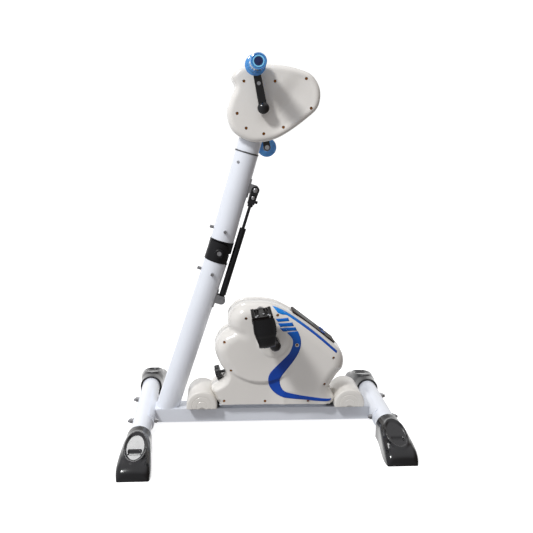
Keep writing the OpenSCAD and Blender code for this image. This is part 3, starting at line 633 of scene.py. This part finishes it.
# ---------- hand grips ----------
RIBS = 16
GROOVE = 0.9
clear = material("grip_clear_blue", (0.10, 0.40, 0.97), 0.1, coat=0.5, tone=0.25, tone_scale=60)
clear.node_tree.nodes["Principled BSDF"].inputs["Transmission Weight"].default_value = 0.35
grip_profile = [(8, 0), (24, 0), (25, 1), (25, 4), (24, 5), (20.5, 6), (19, 9)]
grip_profile += [(19, 9 + 6 * k) for k in range(1, 20)]
grip_profile += [(19, 127), (18.4, 131), (16.5, 132), (15, 131.4), (14, 129.5),
                 (12.6, 129.5), (12, 131.4), (10.4, 131.4), (9.8, 127), (6.2, 127), (6.1, 120)]


def ribbed(verts):
    """Cuts lengthwise grooves between the flange and the nose."""
    out = []
    for x, y, z in verts:
        deep_here = GROOVE if 7 < y < 126 and math.hypot(x, z) > 12 else 0
        k = 1 - deep_here * (0.5 - 0.5 * math.cos(RIBS * math.atan2(z, x))) / 19
        out.append((x * k, y, z * k))
    return out


grip_plug = [(10, 130.6), (9.8, 131.8), (4.4, 131.8), (4.2, 132.8), (0.01, 132.9)]
grip_rim = [(13.4, 131), (13.2, 132.6), (11.6, 132.9), (10.2, 132.4), (10, 131)]
deep = material("grip_deep_blue", (0.006, 0.018, 0.10), 0.25, coat=0.3, tone=0.1)
pale = material("grip_pale_blue", (0.22, 0.62, 0.98), 0.2, coat=0.4, tone=0.1)
for side, tag in SIDES:
    lo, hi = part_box(f"grip_{tag}")
    centre = ((lo[0] + hi[0]) / 2 / MM, 0, (lo[2] + hi[2]) / 2 / MM)
    start = (-hi[1] if side < 0 else lo[1]) / MM
    for part, prof, mat, nodes in (("grip", grip_profile, clear, (f"grip_{tag}",)),
                                   ("rim", grip_rim, pale, ()), ("plug", grip_plug, deep, ())):
        verts, faces = lathe(prof, 96, ends=False)
        if part == "grip":
            verts = ribbed(verts)
        shape = on_side(verts, faces, side, start, flip_on=-1)
        piece(f"{part}_{tag}_skin", *shape, mat, f"{tag}_grip", "grip_blue", nodes,
              offset=centre)

# ---------- hub caps and hinge bolt ----------
for side, tag in SIDES:
    dome = [(0.01, 7.5), (4, 7.2), (8, 6), (11, 4), (13.2, 1.2), (13.6, -2), (13.6, -4)]
    shape = on_side(*lathe(dome, 48, ends=False), side, outer_end("foot_arms", side))
    piece(f"foot_hub_{tag}", *shape, M["crank_black"], "foot_crank", "crank_black",
          offset=(FOOT.x, 0, FOOT.z))
hinge = at_joint("mast_tilt")
for side, tag in SIDES:
    for part, prof, mat in (
            ("ring", [(6.2, 1.4), (7, 1.9), (9.8, 1.6), (11.3, 0.2), (11.3, -3)], "hinge_black"),
            ("head", [(0.01, -1.5), (3, -1.5), (3.1, 1.4), (5.6, 1.6), (6.2, 0.9)],
             "zinc_bolts")):
        verts, faces = lathe(prof, 40 if part == "ring" else 48, ends=False)
        shape = on_side(verts, faces, side, outer_end("hinge_bolt", side))
        piece(f"hinge_{part}_{tag}", *shape, M[mat], "base", mat,
              offset=(hinge.x, 0, hinge.z))

# ---------- console ----------
key_axis = -Vector(JOINT["key_a_press"]["axis"])
slope_dir = Vector((key_axis.z, 0, -key_axis.x))
con_lo, con_hi = (Vector(c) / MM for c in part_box("console"))
con_mid = (con_lo + con_hi) / 2 + key_axis * 2.5


def rounded_slab(half_x, half_y, z0, z1, radius, n=6):
    ring = []
    for cx, cy, a0 in ((1, 1, 0), (-1, 1, 90), (-1, -1, 180), (1, -1, 270)):
        for k in range(n + 1):
            a = math.radians(a0 + 90 * k / n)
            ring.append((cx * (half_x - radius) + radius * math.cos(a),
                         cy * (half_y - radius) + radius * math.sin(a)))
    m = len(ring)
    verts = [(x, y, z0) for x, y in ring] + [(x, y, z1) for x, y in ring]
    faces = [(k, (k + 1) % m, m + (k + 1) % m, m + k) for k in range(m)]
    return verts, faces + [tuple(range(m))[::-1], tuple(m + k for k in range(m))]


def on_panel(verts):
    return [tuple(con_mid + slope_dir * x + Vector((0, y, 0)) + key_axis * z)
            for x, y, z in verts]


for part, shape, mat, node in (
        ("console_body", rounded_slab(70, 30, -9, 2.2, 7), "console_dark", "console"),
        ("console_lens", rounded_slab(29, 20, 1.8, 2.7, 3), "display_grey", "display")):
    verts, faces = shape
    if part == "console_lens":
        verts = [(x - 30, y, z) for x, y, z in verts]
    soften(piece(part, on_panel(verts), faces, M[mat], "base", mat, (node,)), 0.8)

# ---------- pedals and straps ----------
PEDAL_IN = 106
PEDAL_W = 92
PEDAL_TILT = math.radians(9)
STRAP_GAP = 1.5
STRAP_BOTTOM = -44
STRAP_TURN = 25.5


def block(lo, hi):
    """A box between two corners."""
    xs, ys, zs = zip(lo, hi)
    verts = [(x, y, z) for x in xs for y in ys for z in zs]
    faces = [(0, 1, 3, 2), (4, 6, 7, 5), (0, 4, 5, 1), (2, 3, 7, 6), (0, 2, 6, 4), (1, 5, 7, 3)]
    return verts, faces


def peg(x, y, z0, z1, r, n=12):
    """A short stud with a worn rim."""
    verts = [(x + r * k * math.cos(a), y + r * k * math.sin(a), z) for z, k in
             ((z0, 1), (z1 - 0.8, 1), (z1, 0.75)) for a in [i * math.tau / n for i in range(n)]]
    faces = [(i * n + k, i * n + (k + 1) % n, (i + 1) * n + (k + 1) % n, (i + 1) * n + k)
             for i in range(2) for k in range(n)]
    faces.append(tuple(2 * n + k for k in range(n)))
    return verts, faces


def joined(parts):
    """Several shapes as one list of vertices and one of faces."""
    verts, faces = [], []
    for v, f in parts:
        first = len(verts)
        verts += v
        faces += [tuple(i + first for i in face) for face in f]
    return verts, faces


def on_pedal(verts, faces, side, centre, flip_on=1):
    """A shape drawn on a level pedal, leaned and moved to its place on the crank."""
    ct, st = math.cos(PEDAL_TILT), math.sin(PEDAL_TILT)
    if side == flip_on:
        faces = [f[::-1] for f in faces]
    return [(centre.x + x * ct - z * st, side * (PEDAL_IN + y), centre.z + x * st + z * ct)
            for x, y, z in verts], faces


def pedal_parts():
    """The tread: a frame with end bars, a middle rib and four rows of studs."""
    parts = [block((-25, 0, -15), (25, PEDAL_W, 9)),
             block((-25, 3, 9), (-17, 89, 14)), block((17, 3, 9), (25, 89, 14)),
             block((-17, 4, 9), (17, 12, 13)), block((-17, 80, 9), (17, 88, 13)),
             block((-6, 10, 9), (6, 82, 12.5))]
    for i in range(7):
        for x in (-21, 21, -11.5, 11.5):
            parts.append(peg(x, 12 + i * 11.2, 8, 15.5 if abs(x) > 15 else 13, 3.1))
    return joined(parts)


def strap_path():
    """The strap's way from the pedal's outer end down, under and up again: (y, z, outward bow)."""
    outer_y, inner_y = PEDAL_W + 3.5, -STRAP_GAP
    low_out, low_in = 61, inner_y + STRAP_TURN
    path = []
    for k in range(14):
        z = 8 - k / 14 * (8 - STRAP_BOTTOM)
        path.append((outer_y - 9 * ease(-26, STRAP_BOTTOM, z), z, -math.sin(k / 14 * math.pi)))
    turns = [k / 16 * math.pi / 2 for k in range(17)]
    path += [(low_out + STRAP_TURN * math.cos(a), STRAP_BOTTOM - STRAP_TURN * math.sin(a), 0)
             for a in turns]
    path += [(low_out - (low_out - low_in) * k / 10, STRAP_BOTTOM - STRAP_TURN, 0)
             for k in range(1, 10)]
    path += [(low_in - STRAP_TURN * math.sin(a), STRAP_BOTTOM - STRAP_TURN * math.cos(a), 0)
             for a in turns]
    path += [(inner_y, STRAP_BOTTOM + (-13 - STRAP_BOTTOM) * k / 5, 0) for k in range(1, 6)]
    return path


def strap_band():
    """A crowned rubber band with raised edges, swept along the strap's path."""
    section = [(-1, -1), (-0.985, 0.6), (-0.93, 1.6), (-0.84, 0.9), (-0.6, 1.9), (-0.3, 2.5),
               (0, 2.7), (0.3, 2.5), (0.6, 1.9), (0.84, 0.9), (0.93, 1.6), (0.985, 0.6),
               (1, -1), (0.6, -1.2), (0, -0.8), (-0.6, -1.2)]
    path = strap_path()
    n, last = len(section), len(path) - 1
    verts, faces = [], []
    for i, (y, z, bow) in enumerate(path):
        q, p = path[min(i + 1, last)], path[max(i - 1, 0)]
        way = Vector((q[0] - p[0], q[1] - p[1])).normalized()
        half = 25.5 + 2.2 * math.sin(math.pi * min(1, max(0, (8 - z) / 62)))
        half -= 5.5 * ease(-10, -66, z)
        verts += [(STRAP_GAP + u * half, y - (w - 0.3) * way.y + bow, z + (w - 0.3) * way.x)
                  for u, w in section]
    for i in range(last):
        for k in range(n):
            j = (k + 1) % n
            faces.append((i * n + k, i * n + j, (i + 1) * n + j, (i + 1) * n + k))
    return verts, faces + [tuple(range(n))[::-1], tuple(last * n + k for k in range(n))]


TREAD_SCREWS = ((-11, 76), (-15, 84), (4, 66), (15, 80), (18, 87))
for side, tag in SIDES:
    centre = at_joint(f"{tag}_pedal_spin")
    body = piece(f"pedal_{tag}_body", *on_pedal(*pedal_parts(), side, centre),
                 M["pedal_black"], f"{tag}_pedal", "pedal_black", (f"pedal_{tag}",), sharp=30)
    soften(body, 1.3)
    screws = joined([peg(x, y, 8, 15.2, 3) for x, y in TREAD_SCREWS])
    piece(f"pedal_{tag}_screws", *on_pedal(*screws, side, centre), M["zinc_bolts"],
          f"{tag}_pedal", "zinc_bolts", sharp=30)
    piece(f"strap_{tag}_band", *on_pedal(*strap_band(), side, centre, flip_on=-1),
          M["strap_black"], f"{tag}_pedal", "strap_black", (f"strap_{tag}",), sharp=45)

# ---------- gas spring fork plate ----------
GAS_TOP = at_joint("gas_ram_turn")
GAS_LOW = at_joint("gas_tube_turn")
down = (GAS_LOW - GAS_TOP).normalized()
flat = Vector((-down.z, 0, down.x))
PLATE_IN, PLATE_OUT = 13.6, 16.2


def plate_outline(n=20):
    """A lug round the top pin that runs down to a smaller round end."""
    arc = [math.pi * k / n for k in range(n + 1)]
    top = [GAS_TOP + flat * 10 * math.cos(a) - down * 10 * math.sin(a) for a in arc]
    low = [GAS_TOP + down * 26 - flat * 9 * math.cos(a) + down * 9 * math.sin(a) for a in arc]
    return top + low


def bolt_profile(r):
    """A domed head on a washer, from its crown inward."""
    return [(0.01, 20.2), (r * 0.55, 20), (r * 0.8, 19.2), (r, 17.6), (r, PLATE_OUT),
            (r + 1.6, PLATE_OUT), (r + 1.6, 14)]


for side, tag in SIDES:
    outline = plate_outline()
    m = len(outline)
    verts = [(p.x, side * y, p.z) for y in (PLATE_IN, PLATE_OUT) for p in outline]
    faces = [(k, (k + 1) % m, m + (k + 1) % m, m + k) for k in range(m)]
    faces += [tuple(range(m))[::-1], tuple(m + k for k in range(m))]
    plate = piece(f"gas_plate_{tag}", verts, faces, M["gas_head_steel"], "gas_ram",
                  "gas_head_steel")
    bm = bmesh.new()
    bm.from_mesh(plate.data)
    bmesh.ops.recalc_face_normals(bm, faces=bm.faces[:])
    bm.to_mesh(plate.data)
    bm.free()
    soften(plate, 0.8)
    for k, (at, r) in enumerate(((0, 6.5), (20, 5.5))):
        c = GAS_TOP + down * at
        shape = on_side(*lathe(bolt_profile(r), 32, ends=False), side)
        piece(f"gas_bolt_{tag}_{k}", *shape, M["zinc_bolts"], "gas_ram", "zinc_bolts",
              offset=(c.x, 0, c.z))

# ---------- floor and light ----------
bpy.ops.mesh.primitive_plane_add(size=30, location=(0, 0, 0))
floor = bpy.context.object
floor.name = "floor"
fm = bpy.data.materials.new("floor_paper")
fm.use_nodes = True
fb = fm.node_tree.nodes["Principled BSDF"]
fb.inputs["Base Color"].default_value = (0.7, 0.7, 0.7, 1)
fb.inputs["Roughness"].default_value = 0.9
fb.inputs["Emission Color"].default_value = (1, 1, 1, 1)
fb.inputs["Emission Strength"].default_value = 0.72
floor.data.materials.append(fm)
floor.visible_glossy = False
floor.visible_diffuse = False

world = bpy.data.worlds.new("studio")
bpy.context.scene.world = world
world.use_nodes = True
wt = world.node_tree
view_dir = wt.nodes.new("ShaderNodeSeparateXYZ")
wt.links.new(wt.nodes.new("ShaderNodeTexCoord").outputs["Generated"], view_dir.inputs[0])


def rising(axis, start, end, smooth=True):
    """0 to 1 as the direction's coordinate goes from start to end."""
    step = wt.nodes.new("ShaderNodeMapRange")
    if smooth:
        step.interpolation_type = "SMOOTHSTEP"
    step.inputs["From Min"].default_value = start
    step.inputs["From Max"].default_value = end
    wt.links.new(view_dir.outputs[axis], step.inputs["Value"])
    return step.outputs["Result"]


def painted(under, colour, where):
    """The colour laid over what is under it."""
    mix = wt.nodes.new("ShaderNodeMixRGB")
    mix.inputs["Color2"].default_value = (*colour, 1)
    wt.links.new(where, mix.inputs["Fac"])
    wt.links.new(under, mix.inputs["Color1"])
    return mix.outputs["Color"]


# a room that is lighter on the mast's side, with a bright ceiling and a white backdrop low behind
room = ramp_node(wt, (0.62, 0.63, 0.66), (0.13, 0.105, 0.085))
wt.links.new(rising("X", -1, 1, smooth=False), room.inputs["Fac"])
lit_room = painted(room.outputs["Color"], (0.85, 0.85, 0.87), rising("Z", 0.35, 0.95))
backdrop = wt.nodes.new("ShaderNodeMath")
backdrop.operation = "MULTIPLY"
wt.links.new(rising("Y", 0.45, 0.8), backdrop.inputs[0])
wt.links.new(rising("Z", 0.45, 0.28), backdrop.inputs[1])
studio = painted(lit_room, (1.05, 1.05, 1.05), backdrop.outputs["Value"])
wt.links.new(studio, wt.nodes["Background"].inputs["Color"])


def area(name, at, aim, size, power):
    """A square soft light in metres and watts, turned to its aim."""
    data = bpy.data.lights.new(name, "AREA")
    data.size = size
    data.energy = power
    lamp = bpy.data.objects.new(name, data)
    bpy.context.collection.objects.link(lamp)
    lamp.location = at
    lamp.rotation_euler = (Vector(aim) - Vector(at)).to_track_quat("-Z", "Y").to_euler()


area("key", (-1.9, -2.1, 3.1), (0, 0, 0.45), 0.5, 88)
area("rim", (-0.57, 1.33, 1.95), (-0.31, -0.27, 0.05), 0.5, 7)

bpy.context.scene.view_settings.view_transform = "Standard"
